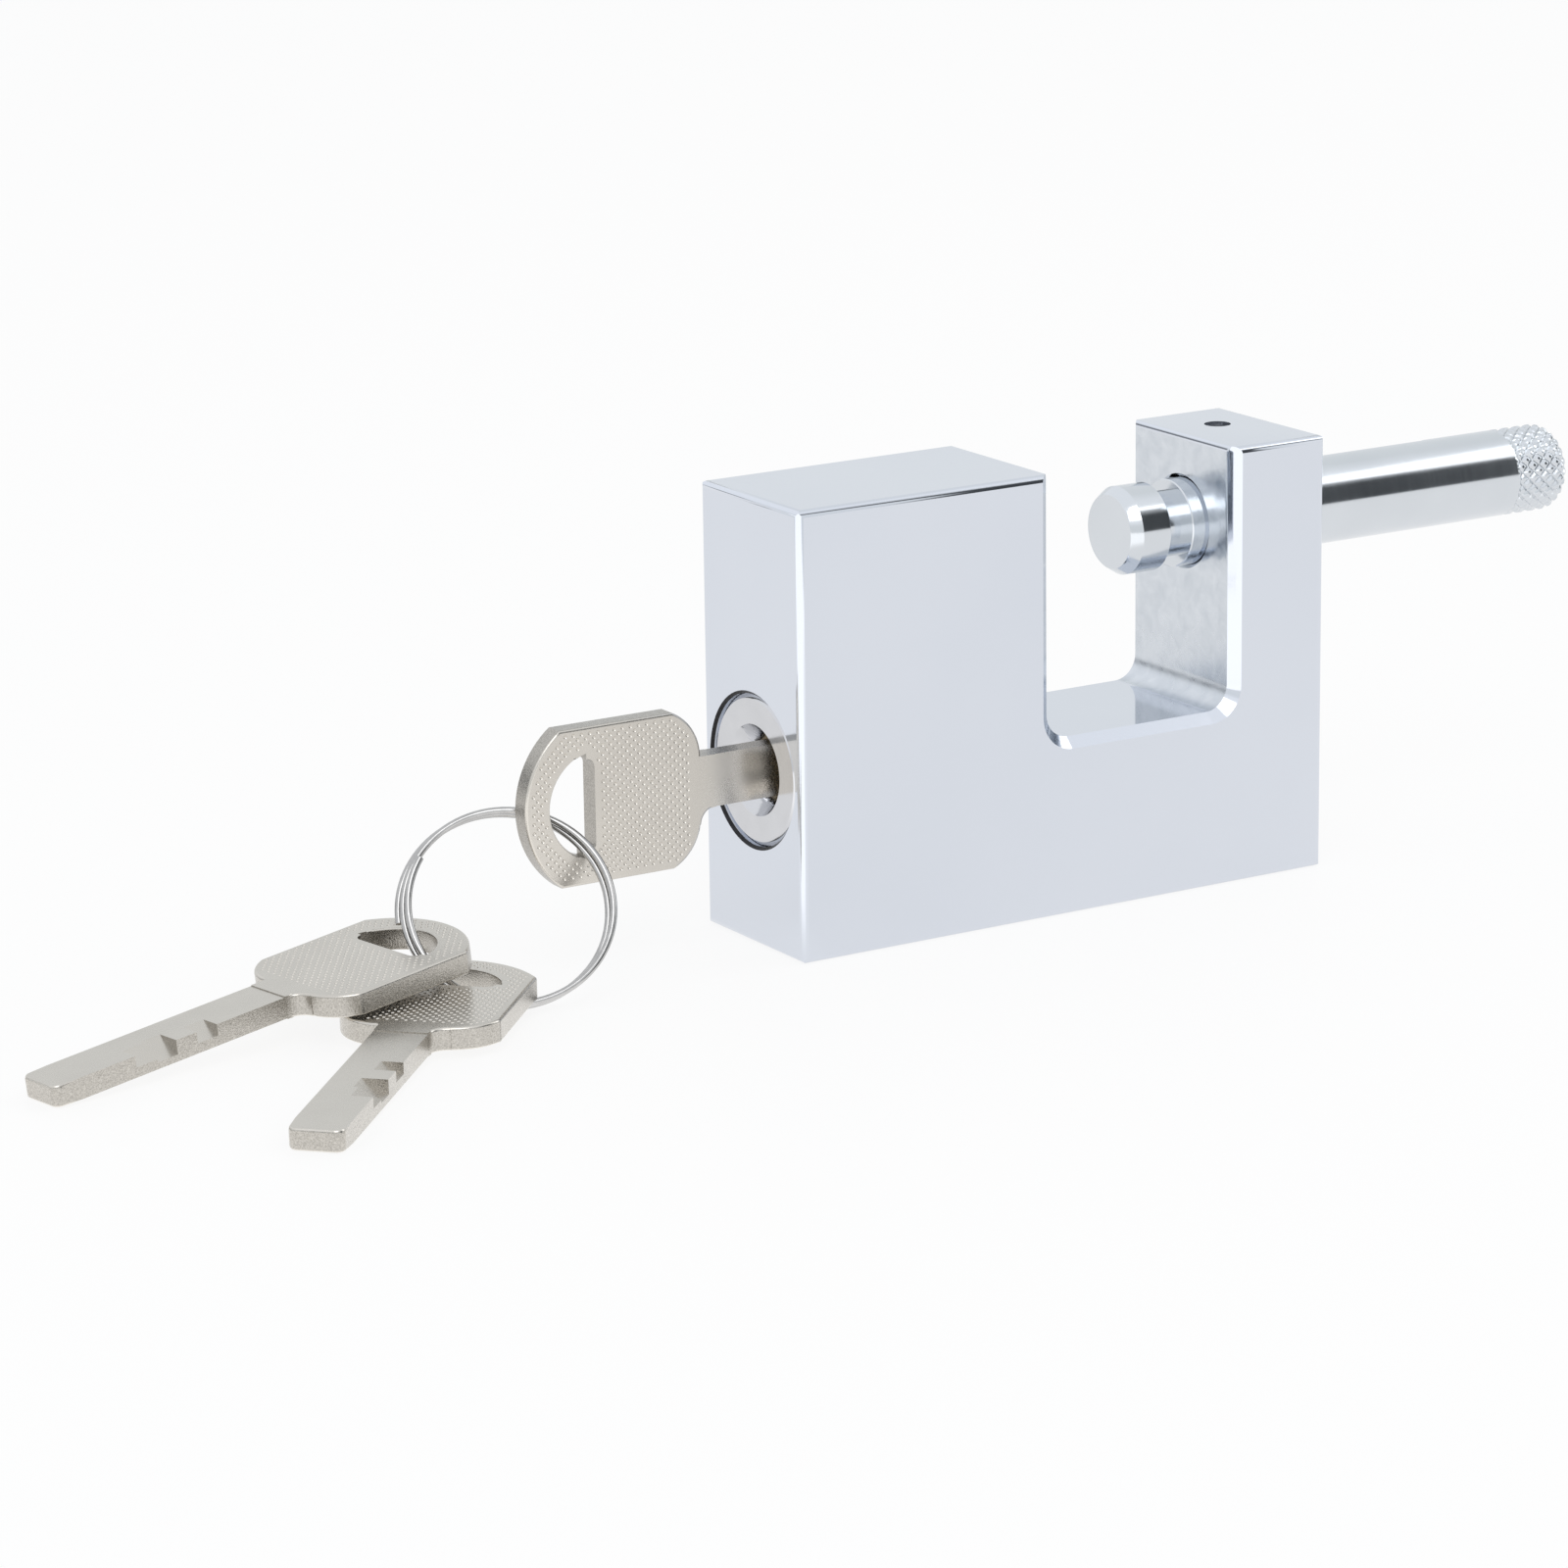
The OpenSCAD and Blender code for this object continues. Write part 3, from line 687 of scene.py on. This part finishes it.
def stop_slot_cutter():
    """Cutter for the slot that the stop pin runs in, with round ends."""
    pin_low, pin_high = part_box("bolt_stop_pin")
    pin = (pin_low + pin_high) / 2
    radius = (pin_high.x - pin_low.x) / 2 + SLOT_PLAY * MM
    shortest, longest = JOINTS["bolt_slide"]["range_m"]
    outline = []
    for side, end in ((1, pin.x - shortest), (-1, pin.x - longest)):
        for step in range(SLOT_END_STEPS + 1):
            angle = math.pi * step / SLOT_END_STEPS - math.pi / 2
            x = end + side * radius * math.cos(angle)
            outline.append((x, pin.y + side * radius * math.sin(angle)))
    cutter = bmesh.new()
    floor = [cutter.verts.new((x, y, pin_low.z - SLOT_FLOOR_PLAY * MM)) for x, y in outline]
    face = cutter.faces.new(floor)
    lifted = bmesh.ops.extrude_face_region(cutter, geom=[face])["geom"]
    tops = [item for item in lifted if isinstance(item, bmesh.types.BMVert)]
    bmesh.ops.translate(cutter, verts=tops, vec=(0, 0, SLOT_CUT_HEIGHT * MM))
    bmesh.ops.recalc_face_normals(cutter, faces=cutter.faces)
    mesh = bpy.data.meshes.new("stop_slot")
    cutter.to_mesh(mesh)
    cutter.free()
    return mesh


def make_bolt():
    """The straight bolt, with its latch groove, stop slot and knurled end."""
    lowest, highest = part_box("shackle_bolt")
    radius = (highest.y - lowest.y) / 2
    axis_height = lowest.z + radius
    length = highest.x - lowest.x
    outline = bolt_outline(length / MM, radius / MM)
    line = bpy.data.meshes.new("bolt")
    points = [(along * MM, out * MM, 0) for along, out in outline]
    line.from_pydata(points, [(i, i + 1) for i in range(len(points) - 1)], [])
    mesh = grown(line, turned_and_knurled(), {
        "Steps round": float(BOLT_STEPS_ROUND + 1), "Points along": float(len(outline)),
        "Knurl start": length - KNURL_LENGTH * MM, "Knurl end": length,
        "Knurl pitch": KNURL_PITCH * MM, "Knurl rounds": float(KNURL_ROUNDS),
        "Knurl depth": KNURL_DEPTH * MM, "Outer radius": radius, "Material": BOLT_CHROME,
    })
    mesh.transform(Matrix.Translation((lowest.x, 0, axis_height)))
    mesh = cut_away(mesh, stop_slot_cutter())
    mesh.materials.clear()
    mesh.materials.append(BOLT_CHROME)
    mesh.polygons.foreach_set("material_index", [0] * len(mesh.polygons))
    smooth_by_angle(mesh, degrees=32)
    add_piece("knurled_bolt", mesh, "shackle_bolt")


# Keys

def plate_frame(node):
    """Matrix from a key's own frame to its place: along the blade, across it and through it."""
    mesh = NODES[node].data
    points = [vertex.co for vertex in mesh.vertices]
    through = max(mesh.polygons, key=lambda face: face.area).normal.copy()

    def length_on_face(edge):
        """An edge's length, or 0 if it doesn't lie along the key's faces."""
        span = points[edge.vertices[0]] - points[edge.vertices[1]]
        return span.length if abs(span.dot(through)) < NEAR else 0

    longest = max(mesh.edges, key=length_on_face)
    along = (points[longest.vertices[1]] - points[longest.vertices[0]]).normalized()

    def reach(direction):
        shadows = [point.dot(direction) for point in points]
        return min(shadows), max(shadows)

    across = through.cross(along)
    low, high = reach(along)
    wide_at_low = max(p.dot(across) for p in points if p.dot(along) < low + BOW_PROBE * MM)
    wide_at_high = max(p.dot(across) for p in points if p.dot(along) > high - BOW_PROBE * MM)
    if wide_at_high > wide_at_low:
        along = -along
    across = through.cross(along)
    low, high = reach(along)
    tip = [p.dot(across) for p in points if p.dot(along) > high - TIP_PROBE * MM]
    blade_middle = (min(tip) + max(tip)) / 2
    side_low, side_high = reach(across)
    if (side_low + side_high) / 2 > blade_middle:
        through, across = -through, -across
        blade_middle = -blade_middle
    back = reach(through)[0]
    place = Matrix((along, across, through)).transposed().to_4x4()
    place.translation = along * low + across * blade_middle + through * back
    return place


def dimples():
    """Tree that presses staggered dimples into both faces of a key's bow."""
    names = ["Pitch", "Dimple radius", "Depth", "Border", "Bow end", "Thickness", "Half height"]
    tree, graph, start = geometry_tree("dimples", {**dict.fromkeys(names), "Material": None})
    body = start["Geometry"]
    pitch = start["Pitch"]
    columns = (start["Bow end"] / pitch).one("CEIL") + 1.0
    rows = (start["Half height"] * 2.0 / pitch).one("CEIL") + 1.0

    def point_grid(shift_x, shift_y):
        """A square grid of points over the bow, shifted by shares of the pitch."""
        grid = graph.node("GeometryNodeMeshGrid", None, {
            "Size X": (columns - 1.0) * pitch, "Size Y": (rows - 1.0) * pitch,
            "Vertices X": columns, "Vertices Y": rows,
        })
        shift = graph.node("ShaderNodeCombineXYZ", None, {
            0: (columns - 1.0) * pitch / 2.0 + pitch * shift_x, 1: pitch * shift_y,
        })
        return graph.node(
            "GeometryNodeTransform", None, {"Geometry": grid["Mesh"], "Translation": shift["Vector"]}
        )["Geometry"]

    both = graph.node("GeometryNodeJoinGeometry")
    for shift in ((0.0, 0.0), (0.5, 0.5)):
        graph.tree.links.new(point_grid(*shift).socket, both.node.inputs[0])
    normal = graph.node("GeometryNodeInputNormal")["Normal"]
    slope = graph.node("ShaderNodeSeparateXYZ", None, {0: normal})[2]
    walls = graph.node(
        "GeometryNodeDeleteGeometry", {"domain": "FACE"},
        {"Geometry": body, "Selection": abs(slope) > 0.3},
    )["Geometry"]
    place = graph.node("GeometryNodeInputPosition")["Position"]
    rise = (0, 0, PROBE_HEIGHT * MM)
    high = graph.node("ShaderNodeVectorMath", {"operation": "ADD"}, {0: place, 1: rise})[0]
    ray = graph.node("GeometryNodeRaycast", None, {
        "Target Geometry": body, "Source Position": high,
        "Ray Direction": (0, 0, -1), "Ray Length": 2 * PROBE_HEIGHT * MM,
    })
    at_face = graph.node("GeometryNodeProximity", {"target_element": "FACES"}, {0: walls})
    along = graph.node("ShaderNodeSeparateXYZ", None, {0: place})[0]
    wanted = (at_face["Distance"] > start["Border"]) * (along < start["Bow end"])
    kept = wanted * ray["Is Hit"]
    points = graph.node(
        "GeometryNodeDeleteGeometry", {"domain": "POINT"},
        {"Geometry": both["Geometry"], "Selection": kept < 0.5},
    )["Geometry"]
    ball = graph.node(
        "GeometryNodeMeshUVSphere", None,
        {"Segments": 10, "Rings": 6, "Radius": start["Dimple radius"]},
    )["Mesh"]
    ball_height = start["Dimple radius"] - start["Depth"]
    sunk = graph.node("GeometryNodeJoinGeometry")
    for height in (start["Thickness"] + ball_height, ball_height * -1.0):
        lift = graph.node("ShaderNodeCombineXYZ", None, {2: height})["Vector"]
        raised = graph.node("GeometryNodeTransform", None, {"Geometry": points, "Translation": lift})
        balls = graph.node(
            "GeometryNodeInstanceOnPoints", None, {"Points": raised["Geometry"], "Instance": ball}
        )
        graph.tree.links.new(balls["Instances"].socket, sunk.node.inputs[0])
    solid_balls = graph.node("GeometryNodeRealizeInstances", None, {"Geometry": sunk["Geometry"]})
    pressed = graph.node(
        "GeometryNodeMeshBoolean", {"operation": "DIFFERENCE", "solver": "EXACT"},
        {"Mesh 1": body, "Mesh 2": solid_balls["Geometry"]},
    )
    end_tree(graph, pressed["Mesh"], start["Material"])
    return tree


def milled_faces(length, half_height, thickness):
    """Two cutters that take a little off both faces of the blade."""
    cutter = bmesh.new()
    span = Vector((length, half_height * 2, thickness))
    for bottom in (thickness - MILLED_DEPTH * MM, MILLED_DEPTH * MM - thickness):
        low = Vector((MILLED_START * MM, -half_height, bottom))
        for vertex in bmesh.ops.create_cube(cutter, size=1.0)["verts"]:
            share = vertex.co + Vector((0.5, 0.5, 0.5))
            vertex.co = low + share * span
    mesh = bpy.data.meshes.new("milled_faces")
    cutter.to_mesh(mesh)
    cutter.free()
    return mesh


def key_master():
    """One key in its own frame, with rolled edges, milled blade and dimpled bow."""
    place = plate_frame("key_1")
    mesh = merged_copy("key_1", "key")
    mesh.transform(place.inverted())
    thickness = max(vertex.co.z for vertex in mesh.vertices)
    length = max(vertex.co.x for vertex in mesh.vertices)
    half_height = max(abs(vertex.co.y) for vertex in mesh.vertices)

    def on_rim(edge):
        """True where a face of the key meets its side."""
        slopes = sorted(abs(face.normal.z) for face in edge.link_faces)
        return slopes[0] < 0.05 and slopes[1] > 0.99

    def reach_along(edge):
        places = [vertex.co.x / MM for vertex in edge.verts]
        return min(places), max(places)

    def round_hole(edge):
        inside = max(abs(vertex.co.y) for vertex in edge.verts) < KEY_HOLE_REACH * MM
        return inside and KEY_HOLE_START < reach_along(edge)[0] < KEY_HOLE_END

    def on_bow(edge):
        return on_rim(edge) and reach_along(edge)[1] < KEY_NECK_END and not round_hole(edge)

    def on_hole(edge):
        return on_rim(edge) and round_hole(edge) and reach_along(edge)[1] < KEY_HOLE_CURVE_END

    def on_tip(edge):
        return on_rim(edge) and reach_along(edge)[0] > length / MM - KEY_TIP_LENGTH

    mesh = rounded(mesh, on_bow, KEY_RIM_ROUND, steps=4)
    mesh = rounded(mesh, on_hole, KEY_HOLE_ROUND, steps=2)
    mesh = rounded(mesh, on_tip, KEY_TIP_ROUND, steps=4)
    mesh = cut_away(mesh, milled_faces(length, half_height, thickness))
    mesh = grown(mesh, dimples(), {
        "Pitch": DIMPLE_PITCH * MM, "Dimple radius": DIMPLE_RADIUS * MM, "Depth": DIMPLE_DEPTH * MM,
        "Border": DIMPLE_BORDER * MM, "Bow end": DIMPLED_LENGTH * MM,
        "Thickness": thickness, "Half height": half_height, "Material": KEY_ALLOY,
    })
    mesh.materials.clear()
    mesh.materials.append(KEY_ALLOY)
    mesh.materials.append(KEY_EDGE)
    for face in mesh.polygons:
        face.material_index = 1 if abs(face.normal.z) < 0.3 else 0
    return weighted(mesh, degrees=28)


def make_keys():
    """Three keys cut alike, each where its solid is."""
    master = key_master()
    names = {"key_1": "key_in_lock", "key_2": "loose_key_upper", "key_3": "loose_key_lower"}
    for node, name in names.items():
        mesh = master.copy()
        mesh.transform(plate_frame(node))
        add_piece(name, mesh, node)


# Split ring

def wire_helix():
    """Tree that bends round wire into a short helix with flat ends."""
    names = ["Turns", "Radius", "Height", "Wire radius", "Drift"]
    tree, graph, start = geometry_tree("wire_helix", {**dict.fromkeys(names), "Material": None})
    path = graph.node("GeometryNodeCurveSpiral", None, {
        "Resolution": RING_STEPS, "Rotations": start["Turns"], "Start Radius": start["Radius"],
        "End Radius": start["Radius"], "Height": start["Height"], "Reverse": False,
    })
    along = graph.node("GeometryNodeSplineParameter")["Factor"]
    shift = graph.node("ShaderNodeCombineXYZ", None, {0: (along - 0.5) * start["Drift"] * 2.0})
    sprung = graph.node(
        "GeometryNodeSetPosition", None, {"Geometry": path["Curve"], "Offset": shift["Vector"]}
    )
    section = graph.node(
        "GeometryNodeCurvePrimitiveCircle", None,
        {"Resolution": WIRE_STEPS, "Radius": start["Wire radius"]},
    )
    wire = graph.node(
        "GeometryNodeCurveToMesh", None,
        {"Curve": sprung["Geometry"], "Profile Curve": section["Curve"], "Fill Caps": True},
    )
    end_tree(graph, wire["Mesh"], start["Material"])
    return tree


def make_ring():
    """The split ring, about the centre and axis that the upper loose key travels round."""
    travel = JOINTS["upper_key_round_ring"]
    normal = Vector(travel["axis"]).normalized()
    across = Vector((0, 0, 1)).cross(normal).normalized()
    up = normal.cross(across)
    height = RING_PITCH * RING_TURNS * MM
    radius = (RING_OUTER - RING_WIRE) / 2 * MM
    mesh = grown(bpy.data.meshes.new("ring"), wire_helix(), {
        "Turns": RING_TURNS, "Radius": radius, "Height": height, "Drift": -RING_DRIFT * MM,
        "Wire radius": RING_WIRE / 2 * MM, "Material": WIRE_STEEL,
    })
    turn = Matrix.Rotation(math.radians(RING_START), 4, "Z") @ Matrix.Translation((0, 0, -height / 2))
    place = Matrix((across, up, normal)).transposed().to_4x4()
    place.translation = Vector(travel["pos_m"])
    mesh.transform(place @ turn)
    smooth_by_angle(mesh, degrees=40)
    add_piece("wire_ring", mesh, "split_ring")


# Cylinder and the pieces inside

def make_cylinder():
    """The barrel with its bright face and countersunk keyhole."""
    lowest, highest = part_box("cylinder_shell")
    axis = (lowest + highest) / 2
    half_width = (highest.y - lowest.y) / 2

    def on_front_rim(edge):
        """True on the outer edge of the face that shows."""
        places = [vertex.co for vertex in edge.verts]
        in_front = all(place.x < lowest.x + NEAR for place in places)
        out = min(math.hypot(place.y - axis.y, place.z - CYLINDER_HEIGHT) for place in places)
        return in_front and out > half_width - BARREL_RIM * MM

    barrel = merged_copy("cylinder_shell", "barrel")
    mesh = weighted(rounded(barrel, on_front_rim, BARREL_RIM, steps=2))
    mesh.materials.append(NICKEL)
    add_piece("barrel_face", mesh, "cylinder_shell")


def make_stop_pin():
    """The pin sunk in the top of the guide tower."""
    mesh = weighted(merged_copy("bolt_stop_pin", "stop_pin"))
    mesh.materials.append(DARK_STEEL_AND_RECESS_SHADE)
    add_piece("stop_pin", mesh, "bolt_stop_pin")


def make_latch_spring():
    """The latch's spring, which shortens as the latch rises."""
    mesh = weighted(merged_copy("latch_spring", "spring"))
    mesh.materials.append(STEEL)
    piece = add_piece("pressed_spring", mesh, "latch_spring")
    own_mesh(piece)


def paint_inner_nodes():
    """Finishes of the solids that stay as they are."""
    for name, node in NODES.items():
        if node.hide_render:
            continue
        finish = STEEL
        if name == "disc_drum":
            finish = NICKEL
        # The discs get brass darkened as painted shade inside the keyway
        if name.startswith("locking_disc"):
            finish = BRASS_WITH_PAINTED_SHADE
        mesh = node.data
        if not mesh.materials:
            mesh.materials.append(None)
        for index in range(len(mesh.materials)):
            mesh.materials[index] = finish


# Floor, light and camera

def make_floor():
    """Pale matt floor that keeps the shadow, with a painted pool of light at the block's front left that only the
    metal mirrors.
    """
    half = FLOOR_HALF
    mesh = bpy.data.meshes.new("floor")
    corners = [(-half, -half, 0), (half, -half, 0), (half, half, 0), (-half, half, 0)]
    mesh.from_pydata(corners, [], [(0, 1, 2, 3)])
    floor = bpy.data.objects.new("floor", mesh)
    bpy.context.scene.collection.objects.link(floor)
    material = bpy.data.materials.new("floor")
    material.use_nodes = True
    graph = Graph(material.node_tree)
    shader = material.node_tree.nodes["Principled BSDF"]
    shader.inputs["Roughness"].default_value = 0.5
    place = graph.node("ShaderNodeTexCoord")["Object"]
    colour = graph.mix_colour(graph.noise(place, 3.0), (0.93, 0.935, 0.94), (0.95, 0.95, 0.955))
    links = material.node_tree.links
    links.new(colour.socket, shader.inputs["Base Color"])
    rays = graph.node("ShaderNodeLightPath")
    shown = (rays["Is Camera Ray"] + rays["Is Glossy Ray"] + rays["Is Transmission Ray"]).clamp()
    parts = graph.node("ShaderNodeSeparateXYZ", None, {0: place})
    x, y = parts[0], parts[1]
    # A painted pool of light at the block's front left, seen only in reflections
    left_of_block = ((x * -0.95 - y * 0.2 - POOL_LEFT_START) * POOL_SLOPE).clamp()
    before_block = ((x * -0.6 - y - POOL_FRONT_START) * POOL_SLOPE).clamp()
    painted_light_pool = left_of_block * before_block
    strength = painted_light_pool * rays["Is Glossy Ray"] * FLOOR_POOL_PAINTED_LIGHT + 1.0
    white = graph.node("ShaderNodeEmission", None, {"Color": (1, 1, 1, 1), "Strength": strength})
    lit = Value(graph, shader.outputs[0])
    both = graph.node("ShaderNodeMixShader", None, {0: shown * FLOOR_WHITE, 1: lit, 2: white[0]})
    links.new(both[0].socket, material.node_tree.nodes["Material Output"].inputs["Surface"])
    mesh.materials.append(material)


def make_world():
    """White room for the metal to mirror, with two upright cards and a bright ceiling.

    The dark card stands at the front right, where the bolt mirrors it as a band. The grey one
    stands low at the back left, and darkens the foot of the chain gap's wall.
    """
    world = bpy.data.worlds.new("studio")
    bpy.context.scene.world = world
    world.use_nodes = True
    tree = world.node_tree
    graph = Graph(tree)
    direction = graph.node("ShaderNodeTexCoord")["Generated"]
    parts = graph.node("ShaderNodeSeparateXYZ", None, {0: direction})
    x, y, z = parts[0], parts[1], parts[2]

    def rises(value, start, width):
        """0 up to start, then evenly up to 1 over the width."""
        return ((value - start) / width).clamp()

    def falls(value, start, width):
        """1 up to start, then evenly down to 0 over the width."""
        return 1.0 - rises(value, start, width)

    upright_strip = rises(abs(x), 0.30, 0.10) * falls(abs(x), 0.64, 0.06)
    front_right = upright_strip * rises(x, 0.0, 0.1) * rises(y * -1.0, 0.1, 0.3)
    dark_card = front_right * rises(z, 0.0, 0.02) * falls(z, 0.55, 0.25)
    back_left = upright_strip * rises(x * -1.0, 0.0, 0.1) * rises(y, 0.1, 0.2)
    grey_card = back_left * falls(z, 0.17, 0.05)
    upper_left = rises(x * -1.0, -0.3, 0.2) * rises(z, 0.28, 0.06)
    ceiling = (rises(z, 0.62, 0.14) * falls(y, -0.1, 0.4) + upper_left).clamp()
    walls = graph.mix_colour(grey_card, WALL_COLOUR, GREY_CARD_COLOUR)
    room = graph.mix_colour(ceiling, walls, CEILING_COLOUR)
    room = graph.mix_colour(dark_card, room, DARK_CARD_COLOUR)
    rays = graph.node("ShaderNodeLightPath")
    shown = (rays["Is Camera Ray"] + rays["Is Transmission Ray"]).clamp()
    white = graph.node("ShaderNodeBackground", None, {"Color": (1, 1, 1, 1), "Strength": 1.0})
    mirrored = graph.node("ShaderNodeBackground", None, {"Color": room, "Strength": 1.0})
    light = graph.node(
        "ShaderNodeBackground", None, {"Color": (0.985, 0.99, 1, 1), "Strength": ROOM_LIGHT}
    )
    in_gloss = graph.node(
        "ShaderNodeMixShader", None, {0: rays["Is Glossy Ray"], 1: light[0], 2: mirrored[0]}
    )
    both = graph.node("ShaderNodeMixShader", None, {0: shown, 1: in_gloss[0], 2: white[0]})
    tree.links.new(both[0].socket, tree.nodes["World Output"].inputs["Surface"])


def add_lamp(name, place, target, size, power):
    """Soft square lamp that looks at a point."""
    lamp = bpy.data.lights.new(name, "AREA")
    lamp.shape = "SQUARE"
    lamp.size = size
    lamp.energy = power
    holder = bpy.data.objects.new(name, lamp)
    holder.location = place
    holder.rotation_euler = (Vector(target) - Vector(place)).to_track_quat("-Z", "Y").to_euler()
    bpy.context.scene.collection.objects.link(holder)


def make_camera():
    """The photograph's camera, from its solved angles and focal length."""
    azimuth = math.radians(CAMERA_AZIMUTH)
    pitch = math.radians(CAMERA_PITCH)
    roll = math.radians(CAMERA_ROLL)
    ahead = Vector((math.sin(azimuth), math.cos(azimuth), 0))
    forward = ahead * math.cos(pitch) - Vector((0, 0, math.sin(pitch)))
    level = Vector((math.cos(azimuth), -math.sin(azimuth), 0))
    upright = level.cross(forward)
    right = level * math.cos(roll) + upright * math.sin(roll)
    up = upright * math.cos(roll) - level * math.sin(roll)
    lens = bpy.data.cameras.new("camera")
    lens.sensor_width = SENSOR
    lens.lens = CAMERA_FOCAL * SENSOR / PHOTO_SIDE
    lens.clip_start = 0.01
    camera = bpy.data.objects.new("camera", lens)
    place = Matrix((right, up, -forward)).transposed().to_4x4()
    place.translation = Vector(CAMERA_PLACE) * MM
    camera.matrix_world = place
    bpy.context.scene.collection.objects.link(camera)
    bpy.context.scene.camera = camera


make_camera()
make_block()
make_bolt()
make_keys()
make_ring()
make_cylinder()
make_stop_pin()
make_latch_spring()
paint_inner_nodes()
make_floor()
make_world()
middle = (cad_box[0] + cad_box[1]) / 2
for lamp_name, (lamp_place, lamp_side, lamp_power) in LAMPS.items():
    add_lamp(lamp_name, lamp_place, middle, lamp_side, lamp_power)
bpy.context.scene.view_settings.view_transform = "Standard"
